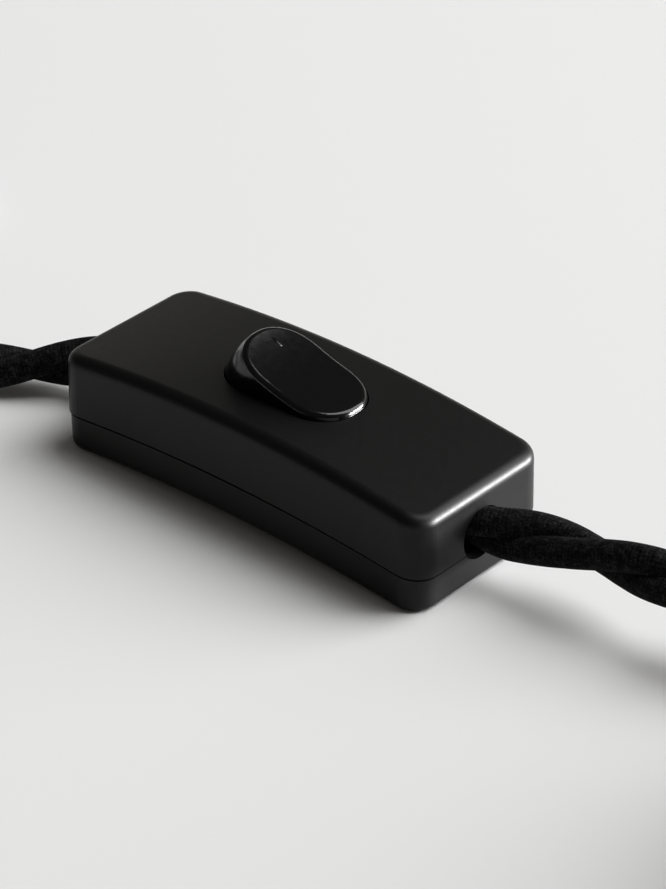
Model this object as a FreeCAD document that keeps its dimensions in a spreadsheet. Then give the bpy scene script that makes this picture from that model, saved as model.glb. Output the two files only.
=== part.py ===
"""Inline cord switch on a twisted two-core textile lead, in millimetres.

X runs along the switch towards the plug, Z is up, and the origin lies on the table under the middle of
the housing. A rocker turns on two trunnions in the upper shell. Its spring-loaded plunger tips a see-saw
contact, which makes or breaks the line core. The neutral core passes through on a plain link.
"""
import FreeCAD, Part
import math
import os
import re
import Sketcher
from FreeCAD import Placement, Rotation, Vector

SIZES = {
    # Housing: two arched shells that meet on an arched parting line
    "body_length": 68.0,
    "body_width": 27.2,
    "corner_radius": 4.0,
    "end_height": 15.0,
    "top_sag": 2.5,
    "parting_height": 5.6,
    "parting_sag": 2.0,
    "seam_gap": 0.4,
    "shell_step": 0.2,
    "underside_sag": 1.5,
    "foot_length": 4.0,
    "floor_height": 3.4,
    "wall_thickness": 1.8,
    "draft_angle": 1.0,
    "top_edge_radius": 1.8,
    "foot_edge_radius": 1.2,
    "seat_gap": 0.05,
    # Cord, its holes and its clamps
    "cord_diameter": 7.2,
    "cord_height": 7.7,
    "cord_clearance": 0.4,
    "sheath_inset": 8.0,
    "clamp_inset": 5.5,
    "clamp_length": 5.0,
    "clamp_width": 17.6,
    "clamp_crown": 1.3,
    "clamp_bite": 1.4,
    "clamp_spread": 6.5,
    "clamp_post_diameter": 4.4,
    # Screws
    "small_screw_diameter": 2.2,
    "small_screw_length": 6.0,
    "small_head_diameter": 3.8,
    "small_head_height": 1.0,
    "housing_screw_diameter": 2.4,
    "housing_screw_length": 9.0,
    "housing_head_diameter": 4.4,
    "housing_head_height": 1.4,
    "housing_screw_offset": 7.0,
    "housing_screw_side": 9.8,
    "housing_post_diameter": 6.4,
    "housing_head_seat": 4.4,
    "slot_width": 0.6,
    "slot_depth": 0.5,
    "screw_clearance": 0.05,
    "head_clearance": 0.2,
    # Rocker: a barrel about its pivot axis, dished on top and hollow below
    "pivot_height": 14.2,
    "rocker_radius": 11.6,
    "rocker_width": 12.4,
    "rocker_corner": 5.9,
    "rocker_top": 5.9,
    "rocker_dish_radius": 50.0,
    "rocker_skirt": 1.6,
    "rocker_wall": 1.4,
    "rocker_roof": 2.0,
    "rocker_edge_radius": 0.8,
    "rocker_tilt": 16.0,
    "rocker_gap": 0.15,
    "trunnion_diameter": 2.6,
    "trunnion_length": 2.1,
    "bearing_clearance": 0.08,
    "ear_thickness": 2.0,
    "ear_length": 6.0,
    "ear_drop": 2.6,
    "boss_diameter": 5.4,
    "boss_drop": 4.0,
    "bore_diameter": 3.2,
    "bore_top": 3.2,
    # Plunger and its spring
    "plunger_reach": 7.25,
    "plunger_length": 6.2,
    "spring_diameter": 2.7,
    "spring_wire": 0.35,
    "spring_turns": 5.0,
    # See-saw contact
    "contact_height": 6.5,
    "contact_length": 17.0,
    "contact_width": 4.4,
    "contact_thickness": 0.8,
    "contact_tilt": 6.0,
    "contact_pin_diameter": 1.2,
    "contact_pin_length": 1.5,
    "contact_side_gap": 0.4,
    "tip_offset": 7.3,
    "tip_diameter": 2.4,
    "tip_height": 0.6,
    "tip_gap": 0.1,
    # Terminals
    "terminal_offset": 13.0,
    "terminal_side": 7.2,
    "terminal_length": 5.0,
    "terminal_width": 4.6,
    "terminal_height": 5.6,
    "strip_thickness": 0.8,
    "strip_width": 3.2,
    "link_width": 1.5,
    "cradle_thickness": 0.8,
    "cradle_length": 3.2,
    "wire_height": 6.2,
    "wire_bore": 2.0,
    # Cores inside the housing
    "core_diameter": 2.2,
    "core_spread": 3.2,
    "core_lead": 3.2,
    "copper_diameter": 1.4,
    "copper_length": 4.0,
    # Hank of the put-away lead, and its straps
    "hank_gap": 68.0,
    "hank_length": 146.0,
    "fold_radius": 21.8,
    "hank_layers": 4.0,
    "hank_edge_radius": 2.5,
    "strap_thickness": 1.0,
    "strap_width": 12.0,
    "near_strap_offset": 62.0,
    "far_strap_offset": 105.0,
    "strap_clearance": 0.1,
    "strap_corner": 0.8,
    # Plug
    "plug_offset": 124.0,
    "plug_shift": 10.4,
    "plug_length": 34.0,
    "plug_width": 35.3,
    "plug_shoulder": 16.0,
    "plug_rear_width": 21.0,
    "plug_thickness": 13.7,
    "plug_corner": 5.0,
    "plug_edge_radius": 2.5,
    "relief_length": 24.0,
    "relief_front": 12.0,
    "relief_rear": 9.0,
    "relief_groove": 0.9,
    "relief_rings": 5,
    "pin_spacing": 18.6,
    "pin_diameter": 4.0,
    "pin_shank_diameter": 2.6,
    "pin_length": 19.0,
    "pin_bare_length": 9.0,
    "pin_root": 6.0,
    "pin_sleeve_diameter": 3.5,
    # Stripped end of the lamp side
    "lamp_core_length": 16.0,
    "ferrule_diameter": 1.8,
    "ferrule_length": 8.0,
}

# The plug is on the +X side of the switch and the lamp on the -X side.
SIDES = {"plug_side": 1, "lamp_side": -1}

# Steps of each lead from the point where it leaves the end wall: outwards, to the left or right, and up.
# The plug side springs up a little and comes down under the hank.
PLUG_STEPS = [(0.3, 0, 0), (9, 1.1, 2.1), (18, 2.4, 3.4), (27.5, 3.2, 3.6), (37.5, 3.9, 2.4),
              (47.5, 5, 0.2), (58, 7.6, -2.2), (68.5, 11.4, -2.9), (79, 15.9, -3)]
# The lamp side comes down to the table, runs out to the left and is folded back once.
LAMP_STEPS = [(1, 0, 0), (9, -2.2, -2.1), (15, -6, -3.6), (20.6, -11, -5), (29, -17.2, -5),
              (42, -22, -5), (62, -24.4, -5), (87, -23.9, -5), (112, -24.1, -5), (126.1, -10, -5),
              (126.1, 10, -5), (113, 23.6, -5), (97, 24.3, -5), (81, 24.3, -5)]
# How many layers the lead climbs at each corner of the last fold, and then the shares of the way to the
# strain relief of the plug, along X, Y and Z.
FOLD_CLIMB = (0, 0.1, 0.4, 0.75, 1, 1.2)
TAIL_SHARES = [(0.4, 0.53, 0.5), (0.73, 0.87, 0.85), (1, 1, 1)]

doc = FreeCAD.newDocument("inline_cord_switch")
sheet = doc.addObject("Spreadsheet::Sheet", "Sizes")
for row, (alias, value) in enumerate(SIZES.items(), start=1):
    sheet.set(f"A{row}", alias)
    sheet.set(f"B{row}", str(value))
    sheet.setAlias(f"B{row}", alias)
doc.recompute()

ALIAS = re.compile(r"\b[a-z]+(?:_[a-z]+)+\b")
# How far a cutting tool runs past what it cuts
OVERCUT = "1"
# How near an edge lies to the surface or level that it belongs to
NEAR = 0.01
# The share of a run that each of its two corner arcs may take
ARC_SHARE = 0.45
AXIS_TURN = {
    "X": Rotation(Vector(0, 1, 0), 90),
    "Y": Rotation(Vector(1, 0, 0), -90),
    "Z": Rotation(),
}


def size(alias):
    """The value that the sheet holds under an alias."""
    return float(sheet.get(alias))


def formula(text):
    """An expression on the sheet's cells, from one that names only their aliases."""
    return ALIAS.sub(lambda word: "Sizes." + word.group(), text)


def bind(thing, **sizes):
    """Ties properties of an object to formulas on the sheet."""
    for name, text in sizes.items():
        thing.setExpression(name, formula(text))
    return thing


def place(thing, x="0", y="0", z="0"):
    """Ties the place of an object to formulas on the sheet."""
    for axis, text in zip("xyz", (x, y, z)):
        thing.setExpression("Placement.Base." + axis, formula(text))
    return thing


def named(thing, label):
    """Gives a finished sub-part the label that names its file."""
    thing.Label = label
    return thing


def cylinder(name, diameter, height, axis="Z", x="0", y="0", z="0"):
    """A cylinder that grows from a point along an axis."""
    rod = doc.addObject("Part::Cylinder", name)
    rod.Placement = Placement(Vector(), AXIS_TURN[axis])
    bind(rod, Radius=f"({diameter}) / 2", Height=height)
    return place(rod, x, y, z)


def cone(name, start_diameter, end_diameter, height, axis="Z", x="0", y="0", z="0"):
    """A cone that grows from a point along an axis."""
    taper = doc.addObject("Part::Cone", name)
    taper.Placement = Placement(Vector(), AXIS_TURN[axis])
    bind(taper, Radius1=f"({start_diameter}) / 2", Radius2=f"({end_diameter}) / 2", Height=height)
    return place(taper, x, y, z)


def box(name, length, width, height, x="0", y="0", z="0"):
    """A box that is centred on X and Y and stands on its base height."""
    block = doc.addObject("Part::Box", name)
    bind(block, Length=length, Width=width, Height=height)
    return place(block, f"{x} - ({length}) / 2", f"{y} - ({width}) / 2", z)


def fuse(name, *pieces):
    """Joins pieces into one solid."""
    joined = doc.addObject("Part::MultiFuse", name)
    joined.Shapes = list(pieces)
    joined.Refine = True
    return joined


def cut(name, base, *tools):
    """Takes tools away from a base."""
    result = doc.addObject("Part::Cut", name)
    result.Base = base
    result.Tool = tools[0] if len(tools) == 1 else fuse(name + "_tools", *tools)
    result.Refine = True
    return result


def common(name, base, tool):
    """Keeps what two pieces share."""
    result = doc.addObject("Part::Common", name)
    result.Base = base
    result.Tool = tool
    return result


def group(name, pieces):
    """Keeps like pieces together as separate solids of one sub-part."""
    bundle = doc.addObject("Part::Compound", name)
    bundle.Links = list(pieces)
    return bundle


def new_body(name):
    """An empty body."""
    return doc.addObject("PartDesign::Body", name)


def sketch_on(body, role, name, offset="0"):
    """A sketch on one of the body's own origin planes, moved along its normal."""
    plane = next(feature for feature in body.Origin.OriginFeatures if feature.Role == role)
    sketch = body.newObject("Sketcher::SketchObject", name)
    sketch.AttachmentSupport = (plane, [""])
    sketch.MapMode = "FlatFace"
    sketch.setExpression("AttachmentOffset.Base.z", formula(offset))
    return sketch


def measure(sketch, name, text, *constraint):
    """Adds a dimension to a sketch and ties it to a formula on the sheet."""
    index = sketch.addConstraint(Sketcher.Constraint(*constraint))
    sketch.renameConstraint(index, name)
    sketch.setExpression("Constraints." + name, formula(text))


def relate(sketch, *constraints):
    """Adds geometric constraints to a sketch."""
    for constraint in constraints:
        sketch.addConstraint(Sketcher.Constraint(*constraint))


def rounded_rectangle(sketch, length, width, radius):
    """Draws a rectangle with round corners about the sketch's origin."""
    half_x, half_y, bend = 30.0, 12.0, 3.0
    right, top = half_x - bend, half_y - bend
    up = Vector(0, 0, 1)
    quarter = math.pi / 2
    corners = [(right, top), (-right, top), (-right, -top), (right, -top)]
    for index, (x, y) in enumerate(corners):
        circle = Part.Circle(Vector(x, y, 0), up, bend)
        sketch.addGeometry(Part.ArcOfCircle(circle, index * quarter, (index + 1) * quarter), False)
    sides = [((right, half_y), (-right, half_y)), ((-half_x, top), (-half_x, -top)),
             ((-right, -half_y), (right, -half_y)), ((half_x, -top), (half_x, top))]
    for start, end in sides:
        sketch.addGeometry(Part.LineSegment(Vector(*start, 0), Vector(*end, 0)), False)
    for index in range(4):
        line = 4 + index
        relate(sketch, ("Tangent", index, 2, line, 1), ("Tangent", line, 2, (index + 1) % 4, 1))
    for index in range(3):
        relate(sketch, ("Equal", index, index + 1))
    relate(sketch, ("Horizontal", 4), ("Vertical", 5), ("Horizontal", 6), ("Vertical", 7),
           ("Symmetric", 0, 3, 2, 3, -1, 1))
    measure(sketch, "length", length, "DistanceX", 5, 1, 7, 1, 2 * half_x)
    measure(sketch, "width", width, "DistanceY", 6, 1, 4, 1, 2 * half_y)
    measure(sketch, "radius", radius, "Radius", 0, bend)


def arch_radius(half, sag):
    """The radius of an arc with a half chord and a rise."""
    return f"((({half})^2 + ({sag})^2) / (2 * ({sag})))"


def arch_sketch(body, name, half, end, sag, above):
    """A side view of all that lies above, or below, an arc that rises by sag between its ends."""
    sketch = sketch_on(body, "XZ_Plane", name)
    reach, radius, far = 36.0, 232.0, 40.0 if above else -10.0
    turn = math.asin(reach / radius)
    circle = Part.Circle(Vector(0, 15 - radius, 0), Vector(0, 0, 1), radius)
    arc = Part.ArcOfCircle(circle, math.pi / 2 - turn, math.pi / 2 + turn)
    sketch.addGeometry(arc, False)
    right, left = arc.StartPoint, arc.EndPoint
    far_right, far_left = Vector(reach, far, 0), Vector(-reach, far, 0)
    for start, finish in ((right, far_right), (far_right, far_left), (far_left, left)):
        sketch.addGeometry(Part.LineSegment(start, finish), False)
    relate(sketch, ("Coincident", 0, 1, 1, 1), ("Coincident", 1, 2, 2, 1), ("Coincident", 2, 2, 3, 1),
           ("Coincident", 3, 2, 0, 2), ("Vertical", 1), ("Vertical", 3), ("Horizontal", 2),
           ("PointOnObject", 0, 3, -2))
    bend = arch_radius(half, sag)
    measure(sketch, "bend", bend, "Radius", 0, radius)
    measure(sketch, "depth", f"{bend} - ({end}) - ({sag})", "DistanceY", 0, 3, -1, 1, radius - 15)
    measure(sketch, "right", f"{half} + {OVERCUT}", "DistanceX", -1, 1, 1, 1, reach)
    measure(sketch, "left", f"{half} + {OVERCUT}", "DistanceX", 0, 2, -1, 1, reach)
    if above:
        measure(sketch, "far", "2 * end_height + top_sag", "DistanceY", -1, 1, 2, 1, far)
    else:
        measure(sketch, "far", "end_height", "DistanceY", 2, 1, -1, 1, -far)
    return sketch


def arched_block(name, inset, base, height, rising, over=None, under=None):
    """A drafted block with a rounded plan, cut by an arc above and an arc below."""
    body = new_body(name)
    plan = sketch_on(body, "XY_Plane", name + "_plan", base)
    rounded_rectangle(plan, f"body_length - 2 * ({inset})", f"body_width - 2 * ({inset})",
                      f"corner_radius - ({inset})")
    pad = body.newObject("PartDesign::Pad", name + "_pad")
    pad.Profile = plan
    pad.Reversed = not rising
    bind(pad, Length=height, TaperAngle="-draft_angle")
    for part_name, arc, above in (("over", over, True), ("under", under, False)):
        if arc:
            pocket = body.newObject("PartDesign::Pocket", f"{name}_{part_name}")
            pocket.Profile = arch_sketch(body, f"{name}_{part_name}_arc", *arc, above)
            pocket.SideType = "Symmetric"
            bind(pocket, Length="2 * body_width")
    doc.recompute()
    return body


def lies_on(edge, surface_height):
    """Whether an edge lies on a surface that is given as a height over X."""
    first, last = edge.ParameterRange
    points = [edge.valueAt(first + (last - first) * share) for share in (0.0, 0.3, 0.7, 1.0)]
    return all(abs(point.z - surface_height(point.x)) < NEAR for point in points)


def is_level(edge):
    """Whether an edge stays at one height."""
    return edge.BoundBox.ZLength < NEAR


def is_upright(edge):
    """Whether an edge runs straight up."""
    return max(edge.BoundBox.XLength, edge.BoundBox.YLength) < NEAR


def is_lengthwise(edge):
    """Whether an edge runs straight along X."""
    return max(edge.BoundBox.YLength, edge.BoundBox.ZLength) < NEAR


def is_crosswise(edge):
    """Whether an edge runs straight along Y."""
    return max(edge.BoundBox.XLength, edge.BoundBox.ZLength) < NEAR


def arc_height(half, end, sag):
    """The height over X of an arc that rises by sag between its ends."""
    radius = (half ** 2 + sag ** 2) / (2 * sag)
    return lambda x: end + sag - radius + math.sqrt(radius ** 2 - x ** 2)


def round_edges(body, name, radius, chosen):
    """Fillets the edges of a body's last feature that a test chooses."""
    doc.recompute()
    last = body.Tip
    fillet = body.newObject("PartDesign::Fillet", name)
    fillet.Base = (last, [f"Edge{i}" for i, edge in enumerate(last.Shape.Edges, 1) if chosen(edge)])
    return bind(fillet, Radius=radius)


def barrel(name, grow):
    """A wheel with round shoulders about the rocker's pivot axis, grown all round by an allowance."""
    body = new_body(name)
    sketch = sketch_on(body, "XY_Plane", name + "_profile")
    radius, half, bend = 11.0, 6.0, 4.0
    up = Vector(0, 0, 1)
    points = [(0, -half), (radius - bend, -half), (radius, bend - half), (radius, half - bend),
              (radius - bend, half), (0, half)]
    corners = [Vector(x, y, 0) for x, y in points]
    lower = Part.Circle(Vector(radius - bend, bend - half, 0), up, bend)
    upper = Part.Circle(Vector(radius - bend, half - bend, 0), up, bend)
    sketch.addGeometry(Part.LineSegment(corners[0], corners[1]), False)
    sketch.addGeometry(Part.ArcOfCircle(lower, -math.pi / 2, 0), False)
    sketch.addGeometry(Part.LineSegment(corners[2], corners[3]), False)
    sketch.addGeometry(Part.ArcOfCircle(upper, 0, math.pi / 2), False)
    sketch.addGeometry(Part.LineSegment(corners[4], corners[5]), False)
    sketch.addGeometry(Part.LineSegment(corners[5], corners[0]), False)
    relate(sketch, ("Tangent", 0, 2, 1, 1), ("Tangent", 1, 2, 2, 1), ("Tangent", 2, 2, 3, 1),
           ("Tangent", 3, 2, 4, 1), ("Coincident", 4, 2, 5, 1), ("Coincident", 5, 2, 0, 1),
           ("Equal", 1, 3), ("Horizontal", 0), ("Vertical", 2), ("Horizontal", 4),
           ("PointOnObject", 0, 1, -2), ("PointOnObject", 4, 2, -2))
    measure(sketch, "radius", f"rocker_radius + ({grow})", "DistanceX", -1, 1, 2, 2, radius)
    measure(sketch, "near", f"rocker_width / 2 + ({grow})", "DistanceY", 0, 1, -1, 1, half)
    measure(sketch, "away", f"rocker_width / 2 + ({grow})", "DistanceY", -1, 1, 4, 2, half)
    measure(sketch, "corner", f"rocker_corner + ({grow})", "Radius", 1, bend)
    turned = body.newObject("PartDesign::Revolution", name + "_turn")
    turned.Profile = sketch
    turned.ReferenceAxis = (sketch, ["V_Axis"])
    turned.Angle = 360
    return body


def screw_places(kind):
    """The X and Y formulas of the screws of one kind."""
    if kind == "housing":
        return [(f"{side} * housing_screw_offset", f"{-side} * housing_screw_side") for side in (1, -1)]
    if kind == "clamp":
        return [(f"{end} * (body_length / 2 - clamp_inset)", f"{side} * clamp_spread")
                for end in (1, -1) for side in (1, -1)]
    return [(f"{end} * terminal_offset", f"{side} * terminal_side") for end in (1, -1) for side in (1, -1)]


def at_each(kind, make):
    """Makes one piece at each screw of a kind."""
    return [make(f"{kind}_{index}", x, y) for index, (x, y) in enumerate(screw_places(kind), 1)]


def cord_hole(name):
    """The bore for the cord through both end walls."""
    return cylinder(name, "cord_diameter + 2 * cord_clearance", f"body_length + 2 * {OVERCUT}", "X",
                    x=f"-body_length / 2 - {OVERCUT}", z="cord_height")


PARTING_TOP = "(parting_height + parting_sag)"
CLAMP_SEAT = "(cord_height + cord_diameter / 2 - clamp_bite)"
INNER_TOP = "(end_height + top_sag - wall_thickness)"
FLOOR_MIDDLE = "((underside_sag + floor_height) / 2)"


def make_upper_housing():
    """The upper shell, with the rocker's opening, its two bearing ears and the screw bosses."""
    top = ("body_length / 2", "end_height", "top_sag")
    roof = ("body_length / 2", "end_height - wall_thickness", "top_sag")
    parting = ("body_length / 2", "parting_height", "parting_sag")
    base = f"parting_height - {OVERCUT}"
    height = "end_height + top_sag"
    outer = arched_block("upper_outer", "0", base, height, True, top, parting)
    crown = arc_height(size("body_length") / 2, size("end_height"), size("top_sag"))
    round_edges(outer, "upper_top_round", "top_edge_radius", lambda edge: lies_on(edge, crown))
    inner = arched_block("upper_inner", "wall_thickness", base, height, True, roof)
    opening = place(barrel("rocker_opening", "rocker_gap"), z="pivot_height")
    shell = cut("upper_shell", outer, inner, opening, cord_hole("upper_cord_hole"))
    ear_bottom = "pivot_height - ear_drop"
    ear_side = "(rocker_width / 2 + rocker_gap + ear_thickness / 2)"
    ears = [box(f"bearing_ear_{index}", "ear_length", "ear_thickness",
                f"{INNER_TOP} + wall_thickness / 2 - ({ear_bottom})", y=f"{side} * {ear_side}", z=ear_bottom)
            for index, side in enumerate((1, -1), 1)]
    boss_height = f"{INNER_TOP} - {PARTING_TOP}"
    bosses = at_each("housing", lambda name, x, y: cylinder(
        f"upper_boss_{name}", "housing_post_diameter", boss_height, x=x, y=y, z=PARTING_TOP))
    ribbed = fuse("upper_ribbed", shell, *ears, *bosses)
    bearing_width = "(rocker_width + 2 * rocker_gap + 4 * ear_thickness)"
    bearing = cylinder("trunnion_bearing", "trunnion_diameter + 2 * bearing_clearance", bearing_width, "Y",
                       y=f"-{bearing_width} / 2", z="pivot_height")
    pilots = at_each("housing", lambda name, x, y: cylinder(
        f"upper_pilot_{name}", "housing_screw_diameter + 2 * screw_clearance",
        f"housing_head_seat + housing_screw_length - parting_height + {OVERCUT}",
        x=x, y=y, z="parting_height"))
    return named(cut("upper_housing_solid", ribbed, bearing, *pilots), "upper_housing")


def make_lower_housing():
    """The lower shell, with two feet, posts for the clamps and counterbored posts for the screws."""
    parting = ("body_length / 2", "parting_height - seam_gap", "parting_sag")
    arch = ("body_length / 2 - foot_length", "0", "underside_sag")
    outer = arched_block("lower_outer", "shell_step", PARTING_TOP, PARTING_TOP, False, parting, arch)
    arch_end = size("body_length") / 2 - size("foot_length")
    vault = arc_height(arch_end, 0.0, size("underside_sag"))

    def is_rim(edge):
        """Whether an edge bounds the underside, and isn't where a foot meets the arch."""
        if is_crosswise(edge) and abs(abs(edge.BoundBox.XMin) - arch_end) < NEAR:
            return False
        return lies_on(edge, vault) or lies_on(edge, lambda x: 0.0)

    round_edges(outer, "lower_foot_round", "foot_edge_radius", is_rim)
    inner = arched_block("lower_inner", "shell_step + wall_thickness", PARTING_TOP,
                         f"{PARTING_TOP} - floor_height", False)
    shell = cut("lower_shell", outer, inner, cord_hole("lower_cord_hole"))
    posts = at_each("clamp", lambda name, x, y: cylinder(
        f"clamp_post_{name}", "clamp_post_diameter", f"{CLAMP_SEAT} - seat_gap - {FLOOR_MIDDLE}",
        x=x, y=y, z=FLOOR_MIDDLE))
    bosses = at_each("housing", lambda name, x, y: cylinder(
        f"lower_boss_{name}", "housing_post_diameter + 2 * head_clearance",
        f"{PARTING_TOP} - 2 * seam_gap - {FLOOR_MIDDLE}", x=x, y=y, z=FLOOR_MIDDLE))
    posted = fuse("lower_posted", shell, *posts, *bosses)
    pilots = at_each("clamp", lambda name, x, y: cylinder(
        f"clamp_pilot_{name}", "small_screw_diameter + 2 * screw_clearance", "end_height",
        x=x, y=y, z="floor_height"))
    passes = at_each("housing", lambda name, x, y: cylinder(
        f"screw_pass_{name}", "housing_screw_diameter + 2 * head_clearance", "end_height", x=x, y=y))
    seats = at_each("housing", lambda name, x, y: cylinder(
        f"head_seat_{name}", "housing_head_diameter + 2 * head_clearance", "housing_head_seat", x=x, y=y))
    return named(cut("lower_housing_solid", posted, *pilots, *passes, *seats), "lower_housing")


def swept(name, path, way, diameter):
    """A round bar along a path that sets off in a given direction."""
    section = Part.Wire(Part.Circle(path.Vertexes[0].Point, way, diameter / 2).toShape())
    bar = doc.addObject("Part::Feature", name)
    bar.Shape = path.makePipeShell([section], True, False)
    bar.Placement = Placement()
    return bar


def tilted(thing, label, height, angle):
    """Names a sub-part that hinges about the Y axis, and sets it at its height and angle."""
    thing.Placement = Placement(Vector(), Rotation(Vector(0, 1, 0), 1))
    place(thing, z=height)
    thing.setExpression("Placement.Rotation.Angle", formula(angle))
    return named(thing, label)


def round_solid(name, base, radius, chosen):
    """Fillets the edges of a finished solid that a test chooses."""
    doc.recompute()
    fillet = doc.addObject("Part::Fillet", name)
    fillet.Base = base
    fillet.Edges = [(i, radius, radius) for i, edge in enumerate(base.Shape.Edges, 1) if chosen(edge)]
    return fillet


def make_rocker():
    """The rocker: a dished cap on a hollow skirt, with two trunnions and a bored boss for the plunger."""
    span = "4 * rocker_radius"
    blank = barrel("rocker_blank", "0")
    dish = cylinder("rocker_dish", "2 * rocker_dish_radius", span, "Y", y="-2 * rocker_radius",
                    z="rocker_top + rocker_dish_radius")
    under = box("rocker_under", span, span, span, z=f"-rocker_skirt - {span}")
    below_roof = box("rocker_below_roof", span, span, span, z=f"rocker_top - rocker_roof - {span}")
    hollow = common("rocker_hollow", barrel("rocker_room", "-rocker_wall"), below_roof)
    shell = cut("rocker_shell", blank, dish, under, hollow)
    boss = cylinder("plunger_boss", "boss_diameter", "boss_drop + rocker_top - rocker_roof / 2",
                    z="-boss_drop")
    stub = "(trunnion_length + rocker_wall / 2)"
    starts = ("-rocker_width / 2 - trunnion_length", "rocker_width / 2 - rocker_wall / 2")
    trunnions = [cylinder(f"trunnion_{index}", "trunnion_diameter", stub, "Y", y=start)
                 for index, start in enumerate(starts, 1)]
    bore = cylinder("plunger_bore", "bore_diameter", f"boss_drop + bore_top + {OVERCUT}",
                    z=f"-boss_drop - {OVERCUT}")
    plain = cut("rocker_plain", fuse("rocker_ribbed", shell, boss, *trunnions), bore)
    dish_radius = size("rocker_dish_radius")
    dish_floor = size("rocker_top")

    def dished(x):
        """The height of the dished top over X."""
        return dish_floor + dish_radius - math.sqrt(dish_radius ** 2 - x ** 2)

    rounded = round_solid("rocker_solid", plain, size("rocker_edge_radius"),
                          lambda edge: lies_on(edge, dished))
    return tilted(rounded, "rocker", "pivot_height", "rocker_tilt")


PLUNGER_TOP = "(plunger_length - plunger_reach)"


def make_plunger():
    """The plunger: a pin with a round nose that slides in the rocker's boss."""
    thickness = "(bore_diameter - 2 * bearing_clearance)"
    nose = doc.addObject("Part::Sphere", "plunger_nose")
    bind(nose, Radius=f"{thickness} / 2")
    place(nose, z=f"-plunger_reach + {thickness} / 2")
    stem = cylinder("plunger_stem", thickness, f"plunger_length - {thickness} / 2",
                    z=f"-plunger_reach + {thickness} / 2")
    return tilted(fuse("plunger_solid", stem, nose), "contact_plunger", "pivot_height", "rocker_tilt")


def make_spring():
    """The plunger's compression spring, as half turns between the plunger and the end of its bore."""
    wire = size("spring_wire")
    radius = (size("spring_diameter") - wire) / 2
    low = size("plunger_length") - size("plunger_reach") + size("seat_gap") + wire / 2
    high = size("bore_top") - size("seat_gap") - wire / 2
    halves = 2 * round(size("spring_turns"))
    rise = (high - low) / halves
    bulge = math.hypot(radius, rise / 2)
    arcs = []
    for half in range(halves):
        side = 1 if half % 2 == 0 else -1
        start = Vector(side * radius, 0, low + half * rise)
        middle = Vector(0, side * bulge, start.z + rise / 2)
        end = Vector(-side * radius, 0, start.z + rise)
        arcs.append(Part.Arc(start, middle, end).toShape())
    coil = swept("spring_coil", Part.Wire(arcs), Vector(0, 1, 0), wire)
    return tilted(coil, "plunger_spring", "pivot_height", "rocker_tilt")


def make_contact():
    """The see-saw contact plate with its two pivot pins."""
    plate = box("contact_plate", "contact_length", "contact_width", "contact_thickness",
                z="-contact_thickness / 2")
    root = "contact_thickness / 4"
    starts = ("-contact_width / 2 - contact_pin_length", f"contact_width / 2 - {root}")
    pins = [cylinder(f"contact_pin_{index}", "contact_pin_diameter", f"contact_pin_length + {root}", "Y",
                     y=start) for index, start in enumerate(starts, 1)]
    return tilted(fuse("contact_solid", plate, *pins), "rocking_contact", "contact_height", "-contact_tilt")


def make_moving_tip():
    """The rivet at the switching end of the see-saw contact."""
    rivet = cylinder("moving_rivet", "tip_diameter", "tip_height", x="tip_offset",
                     z="-contact_thickness / 2 - tip_height")
    return tilted(group("moving_tip_solid", [rivet]), "moving_contact_tip", "contact_height", "-contact_tilt")


STRIP_TOP = "(floor_height + strip_thickness)"
TIP_REACH = "((tip_offset + tip_diameter / 2) * sin(contact_tilt) + tip_gap)"


def make_fixed_tip():
    """The rivet on the line terminal that the moving tip comes down on."""
    top = f"(contact_height - (contact_thickness / 2 + tip_height) * cos(contact_tilt) - {TIP_REACH})"
    rivet = cylinder("fixed_rivet", "tip_diameter", f"{top} - {STRIP_TOP}", x="tip_offset", z=STRIP_TOP)
    return named(rivet, "fixed_contact_tip")


def terminal_block(name, end, side):
    """A brass block with a cross bore for the copper and a hole for its screw, as a base and its tools."""
    x = f"{end} * terminal_offset"
    y = f"{side} * terminal_side"
    block = box(f"{name}_block", "terminal_length", "terminal_width", "terminal_height", x, y, "floor_height")
    bore = cylinder(f"{name}_bore", "wire_bore", "2 * terminal_length", "X", f"{x} - terminal_length", y,
                    "wire_height")
    tap = cylinder(f"{name}_tap", "small_screw_diameter + 2 * screw_clearance", "terminal_height", x=x, y=y,
                   z="wire_height")
    return block, [bore, tap]


def strip(name, x_from, x_to, y_from, y_to):
    """A flat brass strip on the floor of the housing."""
    return box(name, f"{x_to} - ({x_from})", f"{y_to} - ({y_from})", "strip_thickness",
               f"(({x_from}) + ({x_to})) / 2", f"(({y_from}) + ({y_to})) / 2", "floor_height")


def make_line_terminal():
    """The line terminal, with a strip that carries the fixed contact."""
    block, tools = terminal_block("line", 1, -1)
    half = "strip_width / 2"
    cross = strip("line_cross_strip", f"terminal_offset - {half}", f"terminal_offset + {half}",
                  "-terminal_side", half)
    reach = strip("line_reach_strip", f"tip_offset - {half}", f"terminal_offset + {half}", f"-{half}", half)
    return named(cut("line_solid", fuse("line_joined", block, cross, reach), *tools), "line_terminal")


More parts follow.
